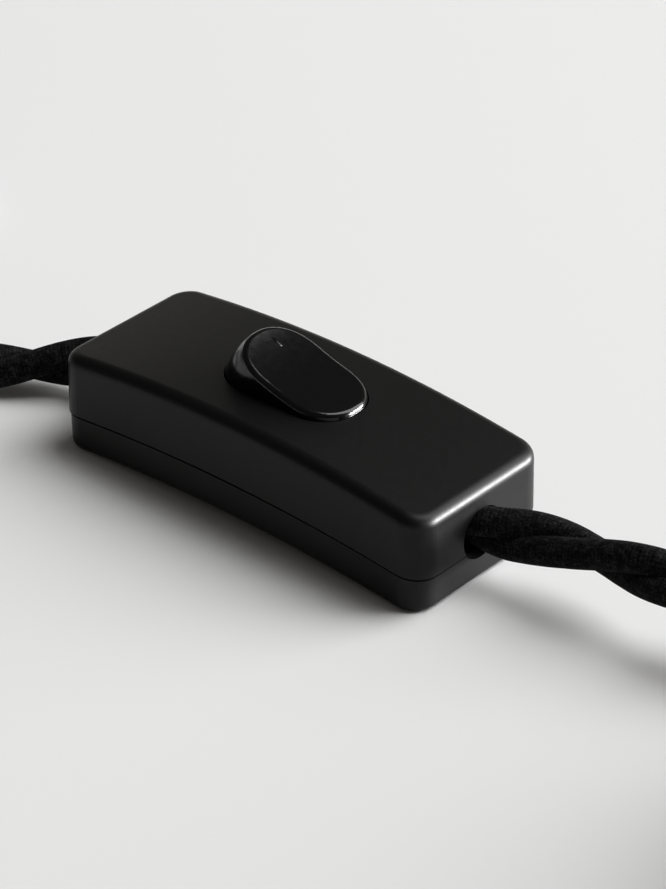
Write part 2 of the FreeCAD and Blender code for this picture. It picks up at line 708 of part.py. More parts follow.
def make_load_terminal():
    """The load terminal, with the cradle of the see-saw contact and the stop for its idle end."""
    block, tools = terminal_block("load", -1, -1)
    half = "strip_width / 2"
    cradle_side = "(contact_width / 2 + contact_side_gap + cradle_thickness / 2)"
    edge = f"({cradle_side} + cradle_thickness / 2)"
    cross = strip("load_cross_strip", f"-terminal_offset - {half}", f"-terminal_offset + {half}",
                  "-terminal_side", edge)
    reach = strip("load_reach_strip", f"-terminal_offset - {half}", "cradle_length / 2", f"-{edge}", edge)
    ears = [box(f"cradle_ear_{index}", "cradle_length", "cradle_thickness", "contact_height - floor_height",
                y=f"{side} * {cradle_side}", z="floor_height") for index, side in enumerate((1, -1), 1)]
    stop_top = f"(contact_height - contact_thickness / 2 * cos(contact_tilt) - {TIP_REACH})"
    stop = cylinder("idle_stop", "tip_diameter", f"{stop_top} - floor_height", x="-tip_offset",
                    z="floor_height")
    notch = cylinder("cradle_notch", "contact_pin_diameter + 2 * bearing_clearance", f"4 * {edge}", "Y",
                     y=f"-2 * {edge}", z="contact_height")
    joined = fuse("load_joined", block, cross, reach, stop, *ears)
    return named(cut("load_solid", joined, notch, *tools), "load_terminal")


def make_neutral_link():
    """The through link of the neutral core: two terminal blocks on one strip."""
    near, near_tools = terminal_block("neutral_near", 1, 1)
    far, far_tools = terminal_block("neutral_far", -1, 1)
    inner = "terminal_side - terminal_width / 2"
    bar = strip("neutral_strip", "-terminal_offset", "terminal_offset", inner, f"{inner} + link_width")
    joined = fuse("neutral_joined", near, far, bar)
    return named(cut("neutral_solid", joined, *near_tools, *far_tools), "neutral_link")


def slotted_screw(name, kind, shank, x, y, seat, up=1):
    """A slotted screw whose head rests on a seat height, with its shank the other way."""
    shank_base = f"{seat} - ({shank})" if up > 0 else seat
    head_base = seat if up > 0 else f"{seat} - {kind}_head_height"
    slot_base = f"{seat} + {kind}_head_height - slot_depth" if up > 0 else f"{head_base} - slot_depth"
    rod = cylinder(f"{name}_shank", f"{kind}_screw_diameter", shank, x=x, y=y, z=shank_base)
    head = cylinder(f"{name}_head", f"{kind}_head_diameter", f"{kind}_head_height", x=x, y=y, z=head_base)
    slot = box(f"{name}_slot", f"2 * {kind}_head_diameter", "slot_width", "2 * slot_depth", x, y, slot_base)
    return cut(f"{name}_screw", fuse(f"{name}_joined", rod, head), slot)


def make_terminal_screws():
    """The four screws that press on the copper."""
    top = "(floor_height + terminal_height + head_clearance)"
    tip = "(wire_height + copper_diameter / 2 + seat_gap)"
    screws = at_each("terminal", lambda name, x, y: slotted_screw(
        name, "small", f"{top} - {tip}", x, y, top))
    return named(group("terminal_screw_group", screws), "terminal_screws")


CLAMP_TOP = "(cord_height + cord_diameter / 2 + clamp_crown)"


def make_clamp_screws():
    """The four screws that draw the clamps down."""
    screws = at_each("clamp", lambda name, x, y: slotted_screw(
        name, "small", "small_screw_length", x, y, CLAMP_TOP))
    return named(group("clamp_screw_group", screws), "clamp_screws")


def make_housing_screws():
    """The two screws that hold the shells together from below."""
    screws = at_each("housing", lambda name, x, y: slotted_screw(
        name, "housing", "housing_screw_length", x, y, "housing_head_seat", -1))
    return named(group("housing_screw_group", screws), "housing_screws")


def make_clamp(side, sign):
    """A clamp bar with a saddle that holds the cord down."""
    x = f"{sign} * (body_length / 2 - clamp_inset)"
    bar = box(f"{side}_clamp_bar", "clamp_length", "clamp_width", f"{CLAMP_TOP} - {CLAMP_SEAT}", x,
              z=CLAMP_SEAT)
    saddle = cylinder(f"{side}_clamp_saddle", "cord_diameter + 2 * seat_gap", "2 * clamp_length", "X",
                      x=f"{x} - clamp_length", z="cord_height")
    holes = [cylinder(f"{side}_clamp_hole_{index}", "small_screw_diameter + 2 * head_clearance", "end_height",
                      x=x, y=f"{way} * clamp_spread") for index, way in enumerate((1, -1), 1)]
    return named(cut(f"{side}_clamp_solid", bar, saddle, *holes), f"cord_clamp_{side}")


def route(points):
    """A path of straight runs joined by tangent arcs, each as large as its two runs allow."""
    edges = []
    radii = []
    start = points[0]
    for before, corner, after in zip(points, points[1:], points[2:]):
        way_in = (corner - before).normalize()
        way_out = (after - corner).normalize()
        half_turn = way_in.getAngle(way_out) / 2
        reach = ARC_SHARE * min((corner - before).Length, (after - corner).Length)
        radius = reach / math.tan(half_turn)
        inward = (way_out - way_in).normalize()
        middle = corner + inward * radius * (1 / math.cos(half_turn) - 1)
        first, last = corner - way_in * reach, corner + way_out * reach
        edges.append(Part.LineSegment(start, first).toShape())
        edges.append(Part.Arc(first, middle, last).toShape())
        radii.append(radius)
        start = last
    edges.append(Part.LineSegment(start, points[-1]).toShape())
    return Part.Wire(edges), radii


def tube(label, points, diameter):
    """A round cord or core along a route, as one solid."""
    path, radii = route(points)
    cord = swept(label + "_solid", path, points[1] - points[0], diameter)
    ratio = cord.Shape.Volume / (path.Length * math.pi * diameter ** 2 / 4)
    print(label, "length", round(path.Length, 1), "volume ratio", round(ratio, 4),
          "radii", [round(radius, 1) for radius in radii])
    return named(cord, label)


def lead_points(side, steps):
    """The route of a lead from its cut end in the housing, through the end wall and along its steps."""
    sign = SIDES[side]
    wall = size("body_length") / 2
    axis = size("cord_height")
    table = size("cord_diameter") / 2 + size("seat_gap")
    start = Vector(sign * (wall - size("sheath_inset")), 0, axis)
    return [start] + [Vector(sign * (wall + x), y, max(axis + z, table)) for x, y, z in steps]


def tail_points(hank, plug):
    """The route from the hank's top turn, round its near fold and up to the strain relief of the plug."""
    doc.recompute()
    turns, shell = hank.Shape.BoundBox, plug.Shape.BoundBox
    layer = size("cord_diameter")
    fold = size("fold_radius")
    side = fold * math.tan(math.pi / 8)
    centre = Vector(turns.XMin + layer / 2 + fold, turns.Center.y, turns.ZMax - layer / 2)
    corners = [(side, -fold), (-side, -fold), (-fold, -side), (-fold, side), (-side, fold), (side, fold)]
    points = [centre + Vector(x, y, layer * climb) for (x, y), climb in zip(corners, FOLD_CLIMB)]
    last = points[-1]
    way = Vector(shell.XMin, shell.Center.y, shell.Center.z) - last
    return points + [last + Vector(way.x * x, way.y * y, way.z * z) for x, y, z in TAIL_SHARES]


def make_cores():
    """The four insulated cores from the cut end of the cord to their terminals."""
    spread = size("core_spread") / 2
    outer = Vector(size("body_length") / 2 - size("sheath_inset"), spread, size("cord_height"))
    face = size("terminal_offset") + size("terminal_length") / 2
    inner = Vector(face, size("terminal_side"), size("wire_height"))
    lead = Vector(size("core_lead"), 0, 0)
    points = [outer, outer - lead, inner + lead, inner]
    cores = []
    for label, sign, way in (("line_core_plug_side", 1, -1), ("neutral_core_plug_side", 1, 1),
                             ("load_core_lamp_side", -1, -1), ("neutral_core_lamp_side", -1, 1)):
        turned = [Vector(sign * point.x, way * point.y, point.z) for point in points]
        cores.append(tube(label, turned, size("core_diameter")))
    return cores


def make_copper_ends():
    """The bared copper of the four cores, inside their terminals."""
    face = "(terminal_offset + terminal_length / 2)"
    ends = []
    for index, (sign, way) in enumerate(((1, -1), (1, 1), (-1, -1), (-1, 1)), 1):
        start = f"{face} - copper_length" if sign > 0 else f"-{face}"
        ends.append(cylinder(f"copper_end_{index}", "copper_diameter", "copper_length", "X", x=start,
                             y=f"{way} * terminal_side", z="wire_height"))
    return named(group("copper_end_group", ends), "copper_ends")


HANK_START = "(body_length / 2 + hank_gap)"
HANK_HEIGHT = "(hank_layers * cord_diameter)"
HANK_BASE = "(strap_thickness + strap_clearance)"
HANK_OUTER = "(fold_radius + cord_diameter / 2)"
STRAP_HEIGHT = f"({HANK_HEIGHT} + 2 * {HANK_BASE})"


def stadium(name, radius, height, base):
    """A slab with round ends, as long as the hank's fold centres and a radius."""
    near = f"({HANK_START} + {HANK_OUTER})"
    far = f"({HANK_START} + hank_length - {HANK_OUTER})"
    middle = box(f"{name}_middle", f"{far} - {near}", f"2 * {radius}", height, f"({near} + {far}) / 2", z=base)
    ends = [cylinder(f"{name}_end_{index}", f"2 * {radius}", height, x=x, z=base)
            for index, x in enumerate((near, far), 1)]
    return fuse(name, middle, *ends)


def make_hank():
    """The outer shape of the folded lead: stacked oval turns round an open middle."""
    outer = stadium("hank_outer", HANK_OUTER, HANK_HEIGHT, HANK_BASE)
    inner = stadium("hank_inner", "(fold_radius - cord_diameter / 2)", f"2 * {HANK_HEIGHT}", "0")
    ring = cut("hank_ring", outer, inner)
    rounded = round_solid("hank_solid", ring, size("hank_edge_radius"), is_level)
    return named(rounded, "plug_cord_hank")


def make_straps():
    """Two straps round the hank."""
    straps = []
    for index, offset in enumerate(("near_strap_offset", "far_strap_offset"), 1):
        x = f"{HANK_START} + {offset}"
        width = f"2 * ({HANK_OUTER} + strap_clearance)"
        outer = box(f"strap_outer_{index}", "strap_width", f"{width} + 2 * strap_thickness", STRAP_HEIGHT, x)
        inner = box(f"strap_inner_{index}", "2 * strap_width", width,
                    f"{STRAP_HEIGHT} - 2 * strap_thickness", x, z="strap_thickness")
        band = cut(f"strap_band_{index}", outer, inner)
        straps.append(round_solid(f"strap_{index}", band, size("strap_corner"), is_lengthwise))
    return named(group("strap_group", straps), "hank_straps")


PLUG_FACE = f"({HANK_START} + plug_offset)"
PLUG_HEIGHT = f"({STRAP_HEIGHT} + seat_gap + plug_thickness / 2)"


def plug_shell():
    """The plug's flat body, wide at its face and narrow where the lead goes in."""
    body = place(new_body("plug_shell"), y="plug_shift")
    sketch = sketch_on(body, "XY_Plane", "plug_plan", PLUG_HEIGHT)
    face = size("body_length") / 2 + size("hank_gap") + size("plug_offset")
    rear = face - size("plug_length")
    shoulder = face - size("plug_shoulder")
    wide = size("plug_width") / 2
    narrow = size("plug_rear_width") / 2
    plan = [(face, -wide), (face, wide), (shoulder, wide), (rear, narrow), (rear, -narrow), (shoulder, -wide)]
    corners = [Vector(x, y, 0) for x, y in plan]
    for start, end in zip(corners, corners[1:] + corners[:1]):
        sketch.addGeometry(Part.LineSegment(start, end), False)
    for index in range(6):
        relate(sketch, ("Coincident", index, 2, (index + 1) % 6, 1))
    relate(sketch, ("Horizontal", 1), ("Horizontal", 5), ("Equal", 1, 5), ("Symmetric", 0, 1, 0, 2, -1),
           ("Symmetric", 3, 1, 3, 2, -1))
    measure(sketch, "face", PLUG_FACE, "DistanceX", -1, 1, 0, 1, face)
    measure(sketch, "width", "plug_width", "DistanceY", 0, 1, 0, 2, 2 * wide)
    measure(sketch, "shoulder", "plug_shoulder", "DistanceX", 1, 2, 1, 1, face - shoulder)
    measure(sketch, "length", "plug_length", "DistanceX", 3, 1, 0, 1, face - rear)
    measure(sketch, "narrow", "plug_rear_width", "DistanceY", 3, 2, 3, 1, 2 * narrow)
    pad = body.newObject("PartDesign::Pad", "plug_pad")
    pad.Profile = sketch
    pad.SideType = "Symmetric"
    bind(pad, Length="plug_thickness")
    round_edges(body, "plug_corner_round", "plug_corner", is_upright)
    round_edges(body, "plug_edge_round", "plug_edge_radius", is_level)
    return body


def make_plug_body():
    """The moulded plug: its body, the ribbed strain relief and the sleeves of the pins."""
    rear = f"({PLUG_FACE} - plug_length - relief_length)"
    taper = cone("relief_cone", "relief_rear", "relief_front", "relief_length + 2 * plug_edge_radius", "X",
                 rear, "plug_shift", PLUG_HEIGHT)
    sleeves = []
    bores = []
    for index, sign in enumerate((1, -1), 1):
        y = f"{sign} * pin_spacing / 2 + plug_shift"
        sleeves.append(cylinder(f"pin_sleeve_{index}", "pin_sleeve_diameter",
                                "pin_root / 2 + pin_length - pin_bare_length", "X",
                                f"{PLUG_FACE} - pin_root / 2", y, PLUG_HEIGHT))
        bores.append(cylinder(f"pin_bore_{index}", "pin_shank_diameter + 2 * screw_clearance",
                              "pin_root + pin_length", "X", f"{PLUG_FACE} - pin_root", y, PLUG_HEIGHT))
    grooves = []
    rings = round(size("relief_rings"))
    for index in range(1, rings + 1):
        share = f"({index} / {rings + 1})"
        ring = doc.addObject("Part::Torus", f"relief_groove_{index}")
        ring.Placement = Placement(Vector(), AXIS_TURN["X"])
        bind(ring, Radius1=f"(relief_rear + (relief_front - relief_rear) * {share}) / 2 + relief_groove / 4",
             Radius2="relief_groove")
        grooves.append(place(ring, f"{rear} + relief_length * {share}", "plug_shift", PLUG_HEIGHT))
    joined = fuse("plug_joined", plug_shell(), taper, *sleeves)
    return named(cut("plug_solid", joined, *bores, *grooves), "plug_body")


def make_plug_pins():
    """The two pins of the plug: a thin shank in the sleeve and a bare round-nosed end."""
    pins = []
    for index, sign in enumerate((1, -1), 1):
        y = f"{sign} * pin_spacing / 2 + plug_shift"
        shank = cylinder(f"pin_shank_{index}", "pin_shank_diameter",
                         "pin_root + pin_length - pin_bare_length / 2", "X",
                         f"{PLUG_FACE} - pin_root", y, PLUG_HEIGHT)
        bare = cylinder(f"pin_bare_{index}", "pin_diameter",
                        "pin_bare_length - pin_diameter / 2 - seat_gap", "X",
                        f"{PLUG_FACE} + pin_length - pin_bare_length + seat_gap", y, PLUG_HEIGHT)
        nose = doc.addObject("Part::Sphere", f"pin_nose_{index}")
        bind(nose, Radius="pin_diameter / 2")
        place(nose, f"{PLUG_FACE} + pin_length - pin_diameter / 2", y, PLUG_HEIGHT)
        pins.append(fuse(f"pin_{index}", shank, bare, nose))
    return named(group("plug_pin_group", pins), "plug_pins")


def lamp_end_rods(name, diameter, tip, start, length):
    """One rod for each core at the stripped end of the lamp side."""
    return [cylinder(f"{name}_{index}", diameter, length, "X", f"{tip.x} + {start}",
                     f"{tip.y} + {sign} * core_spread / 2", f"{tip.z}")
            for index, sign in enumerate((1, -1), 1)]


def make_lamp_end(tip):
    """The stripped cores at the lamp end and the ferrules on them."""
    cores = lamp_end_rods("lamp_end_core", "core_diameter", tip, "0", "lamp_core_length")
    ferrules = lamp_end_rods("lamp_end_ferrule", "ferrule_diameter", tip, "lamp_core_length",
                             "ferrule_length")
    return [named(group("lamp_end_core_group", cores), "lamp_end_cores"),
            named(group("lamp_end_ferrule_group", ferrules), "lamp_end_ferrules")]


def check_document():
    """Stops on any object that failed, so that nothing faulty is written."""
    doc.recompute()
    for thing in doc.Objects:
        if "Invalid" in thing.State or "Error" in thing.State:
            raise RuntimeError(f"{thing.Name} failed: {thing.State}")


def write(parts):
    """Writes each sub-part to a STEP file under its label."""
    for part in parts:
        if part.Shape.isNull() or not part.Shape.isValid():
            raise RuntimeError(f"{part.Label} has no valid shape")
    os.makedirs("parts", exist_ok=True)
    for part in parts:
        part.Shape.exportStep(f"parts/{part.Label}.step")
        print(part.Label, len(part.Shape.Solids), "solids", round(part.Shape.Volume, 2), "mm3")


cord_thickness = size("cord_diameter")
plug_route = lead_points("plug_side", PLUG_STEPS)
lamp_route = lead_points("lamp_side", LAMP_STEPS)
hank = make_hank()
plug = make_plug_body()
parts = [
    make_upper_housing(),
    make_lower_housing(),
    make_rocker(),
    make_plunger(),
    make_spring(),
    make_contact(),
    make_moving_tip(),
    make_fixed_tip(),
    make_line_terminal(),
    make_load_terminal(),
    make_neutral_link(),
    make_terminal_screws(),
    make_clamp_screws(),
    make_housing_screws(),
    *[make_clamp(side, sign) for side, sign in SIDES.items()],
    *make_cores(),
    make_copper_ends(),
    tube("plug_cord", plug_route, cord_thickness),
    tube("lamp_cord", lamp_route, cord_thickness),
    *make_lamp_end(lamp_route[-1]),
    hank,
    make_straps(),
    plug,
    make_plug_pins(),
    tube("plug_cord_tail", tail_points(hank, plug), cord_thickness),
]
check_document()
write(parts)
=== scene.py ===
"""Inline cord switch: rocker switch on a twisted textile lead, with its plug and its bare lamp end."""

import math

import bmesh
import bpy
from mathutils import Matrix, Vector


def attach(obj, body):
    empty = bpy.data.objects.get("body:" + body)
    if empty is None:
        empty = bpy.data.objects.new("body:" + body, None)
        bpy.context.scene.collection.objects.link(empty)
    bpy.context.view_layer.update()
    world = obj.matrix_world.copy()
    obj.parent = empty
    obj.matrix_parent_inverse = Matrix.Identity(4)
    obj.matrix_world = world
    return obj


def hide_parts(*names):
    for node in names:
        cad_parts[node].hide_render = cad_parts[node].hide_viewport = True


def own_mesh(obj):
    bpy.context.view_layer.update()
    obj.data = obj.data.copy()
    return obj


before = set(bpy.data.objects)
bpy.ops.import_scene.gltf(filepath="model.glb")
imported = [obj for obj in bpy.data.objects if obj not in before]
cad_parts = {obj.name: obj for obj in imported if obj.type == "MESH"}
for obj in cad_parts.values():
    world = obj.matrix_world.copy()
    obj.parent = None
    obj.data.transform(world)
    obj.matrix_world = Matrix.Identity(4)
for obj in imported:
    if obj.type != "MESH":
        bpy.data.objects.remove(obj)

bl_info = {
    "name": "Inline cord switch",
    "version": (1, 0, 0),
    "blender": (4, 5, 0),
    "location": "View3D > Sidebar > Cord switch",
    "description": "Builds the lead, finishes and stage of an inline cord switch",
    "category": "Object",
}

# Lead from the switch to its plug, in metres: out of the housing, down to the table, four turns of the hank one on
# top of the other, and over the near fold into the plug's strain relief.
PLUG_ROUTE = [
    (0.0260, 0.0000, 0.0079), (0.0343, 0.0001, 0.0080), (0.0430, 0.0025, 0.0094), (0.0520, 0.0029, 0.0103),
    (0.0615, 0.0022, 0.0121), (0.0715, 0.0049, 0.0113), (0.0815, 0.0055, 0.0083), (0.0920, 0.0077, 0.0053),
    (0.1025, 0.0114, 0.0041), (0.1130, 0.0160, 0.0040), (0.1260, 0.0211, 0.0043), (0.1560, 0.0215, 0.0046),
    (0.1940, 0.0217, 0.0047),
    (0.2316, 0.0218, 0.0047), (0.2444, 0.0090, 0.0047), (0.2444, -0.0090, 0.0047), (0.2316, -0.0218, 0.0047),
    (0.1940, -0.0216, 0.0047), (0.1560, -0.0217, 0.0047),
    (0.1184, -0.0218, 0.0056), (0.1056, -0.0090, 0.0094), (0.1056, 0.0090, 0.0117), (0.1184, 0.0218, 0.0119),
    (0.1560, 0.0217, 0.0119), (0.1940, 0.0214, 0.0119),
    (0.2316, 0.0218, 0.0119), (0.2442, 0.0090, 0.0119), (0.2442, -0.0090, 0.0119), (0.2316, -0.0217, 0.0119),
    (0.1940, -0.0213, 0.0119), (0.1560, -0.0216, 0.0119),
    (0.1184, -0.0218, 0.0128), (0.1057, -0.0090, 0.0166), (0.1057, 0.0090, 0.0189), (0.1184, 0.0218, 0.0191),
    (0.1560, 0.0213, 0.0191), (0.1940, 0.0216, 0.0191),
    (0.2314, 0.0218, 0.0191), (0.2444, 0.0090, 0.0191), (0.2444, -0.0090, 0.0191), (0.2314, -0.0218, 0.0191),
    (0.1940, -0.0217, 0.0191), (0.1560, -0.0214, 0.0191),
    (0.1186, -0.0218, 0.0200), (0.1056, -0.0090, 0.0238), (0.1056, 0.0090, 0.0261), (0.1186, 0.0217, 0.0263),
    (0.1560, 0.0216, 0.0263), (0.1940, 0.0217, 0.0263),
    (0.2316, 0.0217, 0.0263), (0.2441, 0.0090, 0.0263), (0.2441, -0.0090, 0.0263), (0.2316, -0.0218, 0.0263),
    (0.1940, -0.0215, 0.0263), (0.1560, -0.0217, 0.0263),
    (0.1364, -0.0218, 0.0263), (0.1184, -0.0218, 0.0273), (0.1056, -0.0090, 0.0310), (0.1056, 0.0090, 0.0333),
    (0.1184, 0.0218, 0.0338), (0.1364, 0.0218, 0.0350), (0.1491, 0.0158, 0.0364), (0.1595, 0.0119, 0.0375),
    (0.1680, 0.0104, 0.0379), (0.1740, 0.0104, 0.0379),
]

# Lead from the switch towards the lamp, in metres: down to the table, along it and once back.
LAMP_ROUTE = [
    (-0.0260, 0.0000, 0.0077), (-0.0350, 0.0000, 0.0077), (-0.0430, -0.0028, 0.0048), (-0.0490, -0.0065, 0.0038),
    (-0.0546, -0.0114, 0.0037), (-0.0630, -0.0170, 0.0037), (-0.0760, -0.0220, 0.0037),
    (-0.0960, -0.0244, 0.0037), (-0.1210, -0.0239, 0.0037), (-0.1460, -0.0241, 0.0037),
    (-0.1601, -0.0100, 0.0037), (-0.1601, 0.0100, 0.0037), (-0.1470, 0.0236, 0.0037),
    (-0.1310, 0.0243, 0.0037), (-0.1150, 0.0243, 0.0037),
]

# Middle and slope of the bar on the rocker's raised end, with its length, width and height. The roundings of its ends
# and of its top are shares of its width.
BAR_PLACE = (-0.00451, 0.00113, 0.02203)
BAR_SLOPE = math.radians(23.4)
BAR_SIZE = (0.0018, 0.00036, 0.00030)
BAR_END_SHARE = 0.45
BAR_TOP_SHARE = 0.25

# Rocker's hinge line and tilt at rest. The plunger's spring is measured from that line along the tilted bore.
HINGE_HEIGHT = 0.0142
ROCKER_TILT = math.radians(16)
SPRING_RADIUS = 0.001175
SPRING_WIRE = 0.00035
SPRING_TURNS = 5
SPRING_START = -0.000825
SPRING_RISE = 0.0038
SPRING_STEPS = 28
SPRING_SIDES = 12
SPRING_WELD = 0.000001

# The cores of the bare end lie on both sides of this line.
CORES_MIDDLE = 0.0243

# Points along one span of a lead's smooth curve, and round one strand.
SPAN_POINTS = 20
STRAND_SIDES = 18

# Straps of the hank: their places along it, the outside of their loop, and their corners and rims. The free end lies
# on the loop's side.
STRAP_PLACES = {"near_strap": 0.164, "far_strap": 0.207}
STRAP_WIDTH = 0.012
STRAP_DEPTH = 0.0532
STRAP_HEIGHT = 0.0310
STRAP_THICKNESS = 0.0012
STRAP_CORNER = 0.0042
STRAP_RIM = 0.0003
STRAP_END_MIDDLE = 0.0135
STRAP_END_LENGTH = 0.0170
STRAP_END_CORNER = 0.0035

# Faces that meet at a smaller angle look smooth.
BAR_SMOOTH_ANGLE = math.radians(50)
SPRING_SMOOTH_ANGLE = math.radians(50)
STRAP_SMOOTH_ANGLE = math.radians(40)

# Braid of the leads: its cells round a strand and along the same length, how far its threads wander, and what cells,
# patches and fibres give to its relief. Its colour runs between two shares of the lead's colour: lighter fibre specks
# are a painted sheen of lit fuzz, and the cells' share makes the weave's crowns lighter as painted shade.
BRAID_CELLS = 12
BRAID_WANDER = 9.0
BRAID_CELL_HEIGHT = 0.14
BRAID_PATCH_HEIGHT = 1.6
BRAID_FIBRE_HEIGHT = 0.8
BRAID_CELL_SHADE = 0.05
BRAID_GAIN = 2.2
BRAID_CONTRAST = 3.0
BRAID_SHADES = (0.2, 8.0)

# Distances between the ribs and between the yarns of a strap, in metres, and the shares of the strap's colour that
# its weave runs between: lighter on the weave's crowns and darker in its hollows, as painted shade.
STRAP_RIB = 0.0011
STRAP_YARN = 0.0009
STRAP_SHADES = (0.6, 1.5)

# Plastics with a colour of their own, all with the same roughness and grain.
PLASTICS = {
    "natural nylon": (0.75, 0.73, 0.68),
    "brown insulation": (0.12, 0.055, 0.03),
    "blue insulation": (0.03, 0.10, 0.35),
}
PLASTIC_ROUGHNESS = 0.4
PLASTIC_GRAIN = 0.05

# Metals: colour and roughness.
METALS = {
    "brass": ((0.72, 0.53, 0.24), 0.32),
    "zinc plated steel": ((0.62, 0.62, 0.64), 0.34),
    "contact silver": ((0.82, 0.81, 0.79), 0.25),
    "bare copper": ((0.72, 0.38, 0.22), 0.35),
    "tinned ferrule": ((0.42, 0.42, 0.43), 0.5),
    "nickel plate": ((0.62, 0.61, 0.58), 0.3),
}

# Sockets of a Mix node that mixes colours: its factor, its two colours and its result.
MIX_FACTOR, MIX_DARK, MIX_LIGHT, MIX_RESULT = 0, 6, 7, 2

# Camera's sensor and clipping distances, and the floor's width.
SENSOR_WIDTH = 36.0
CLIP_START = 0.01
CLIP_END = 20.0
FLOOR_WIDTH = 12.0

# Softboxes: place, width and height, power, and whether they light surfaces or only show in reflections.
SOFTBOXES = {
    "back softbox": ((1.27, 1.74, 2.20), (2.0, 4.4), 155.0, True),
    "end softbox": ((1.05, 0.95, 0.13), (0.9, 0.24), 150.0, False),
}

# World: dim, and bright only low behind the switch. Heights and depths are parts of a view direction.
WORLD_COLOUR = (1.0, 0.96, 0.91, 1.0)
WORLD_STRENGTHS = (0.08, 1.0)
WORLD_LOW = (0.05, 0.45)
WORLD_BEHIND = (0.2, 0.65)

# Which finish each CAD node gets.
FINISHED_NODES = {
    "housing plastic": ["upper_housing", "lower_housing", "cord_clamp_plug_side", "cord_clamp_lamp_side"],
    "rocker plastic": ["rocker"],
    "plug plastic": ["plug_body"],
    "natural nylon": ["contact_plunger"],
    "brass": ["rocking_contact", "line_terminal", "load_terminal", "neutral_link"],
    "zinc plated steel": ["plunger_spring", "terminal_screws", "clamp_screws", "housing_screws"],
    "contact silver": ["moving_contact_tip", "fixed_contact_tip"],
    "bare copper": ["copper_ends"],
    "brown insulation": ["line_core_plug_side", "load_core_lamp_side", "lamp_end_cores"],
    "blue insulation": ["neutral_core_plug_side", "neutral_core_lamp_side"],
    "tinned ferrule": ["lamp_end_ferrules"],
    "nickel plate": ["plug_pins"],
}


class LeadSettings(bpy.types.PropertyGroup):
    """Sizes and colour of the twisted textile lead."""

    strand_diameter: bpy.props.FloatProperty(
        name="Strand", description="Diameter of one braided strand", default=0.0043, min=0.001, unit="LENGTH")
    strand_spacing: bpy.props.FloatProperty(
        name="Spacing", description="Distance between the middles of the two strands", default=0.0031, min=0.0005,
        unit="LENGTH")
    lay_length: bpy.props.FloatProperty(
        name="Lay", description="Length of one full twist of the two strands", default=0.0436, min=0.01,
        unit="LENGTH")
    lamp_lay_length: bpy.props.FloatProperty(
        name="Lay, lamp side", description="Length of one full twist that ends with the strands side by side",
        default=0.0377, min=0.01, unit="LENGTH")
    plug_side_turn: bpy.props.FloatProperty(
        name="Turn, plug side", description="Turn of the strands inside the plug side of the housing",
        default=math.radians(88), subtype="ANGLE", unit="ROTATION")
    lamp_side_turn: bpy.props.FloatProperty(
        name="Turn, lamp side", description="Turn of the strands inside the lamp side of the housing",
        default=math.radians(152), subtype="ANGLE", unit="ROTATION")
    colour: bpy.props.FloatVectorProperty(
        name="Colour", description="Colour of the braid", default=(0.0045, 0.0045, 0.0047), size=3, min=0, max=1,
        subtype="COLOR")


class FinishSettings(bpy.types.PropertyGroup):
    """Colours of the mouldings."""

    housing: bpy.props.FloatVectorProperty(
        name="Housing", description="Colour of the housing", default=(0.0040, 0.0040, 0.0041), size=3, min=0, max=1,
        subtype="COLOR")
    rocker: bpy.props.FloatVectorProperty(
        name="Rocker", description="Colour of the rocker", default=(0.003, 0.003, 0.0032), size=3, min=0, max=1,
        subtype="COLOR")
    plug: bpy.props.FloatVectorProperty(
        name="Plug", description="Colour of the plug", default=(0.0065, 0.0065, 0.0067), size=3, min=0, max=1,
        subtype="COLOR")
    strap: bpy.props.FloatVectorProperty(
        name="Straps", description="Colour of the straps", default=(0.016, 0.016, 0.017), size=3, min=0, max=1,
        subtype="COLOR")


class StageSettings(bpy.types.PropertyGroup):
    """Camera and floor."""

    camera_place: bpy.props.FloatVectorProperty(
        name="Camera", description="Place of the camera", default=(0.28545, -0.31542, 0.27832), size=3,
        subtype="TRANSLATION", unit="LENGTH")
    azimuth: bpy.props.FloatProperty(
        name="Azimuth", description="Turn of the camera about the upright axis", default=math.radians(41.45),
        subtype="ANGLE", unit="ROTATION")
    elevation: bpy.props.FloatProperty(
        name="Elevation", description="Height angle of the camera", default=math.radians(32.48), subtype="ANGLE",
        unit="ROTATION")
    lens: bpy.props.FloatProperty(
        name="Lens", description="Focal length on a 36 mm sensor", default=145.03, min=1, unit="CAMERA")
    floor: bpy.props.FloatVectorProperty(
        name="Floor", description="Colour of the floor", default=(0.85, 0.85, 0.85), size=3, min=0, max=1,
        subtype="COLOR")


def linked(data, name):
    """A new object in the scene for this data."""
    piece = bpy.data.objects.new(name, data)
    bpy.context.scene.collection.objects.link(piece)
    return piece


def settle():
    """Puts the selected object's place, turn and scale into its mesh."""
    bpy.ops.object.transform_apply(location=True, rotation=True, scale=True)


def apply_modifier(piece, kind, **settings):
    """Shapes the active piece with one modifier."""
    made = piece.modifiers.new(kind.lower(), kind)
    for setting, value in settings.items():
        setattr(made, setting, value)
    bpy.ops.object.modifier_apply(modifier=made.name)


def pick_edges(piece, wanted):
    """Selects only the edges of a piece in edit mode that are wanted."""
    bpy.ops.mesh.select_all(action="DESELECT")
    shape = bmesh.from_edit_mesh(piece.data)
    for edge in shape.edges:
        edge.select_set(wanted(edge))
    bmesh.update_edit_mesh(piece.data)


def span_along(edge, axis):
    """How far an edge runs along one axis."""
    first, last = edge.verts
    return abs(first.co[axis] - last.co[axis])


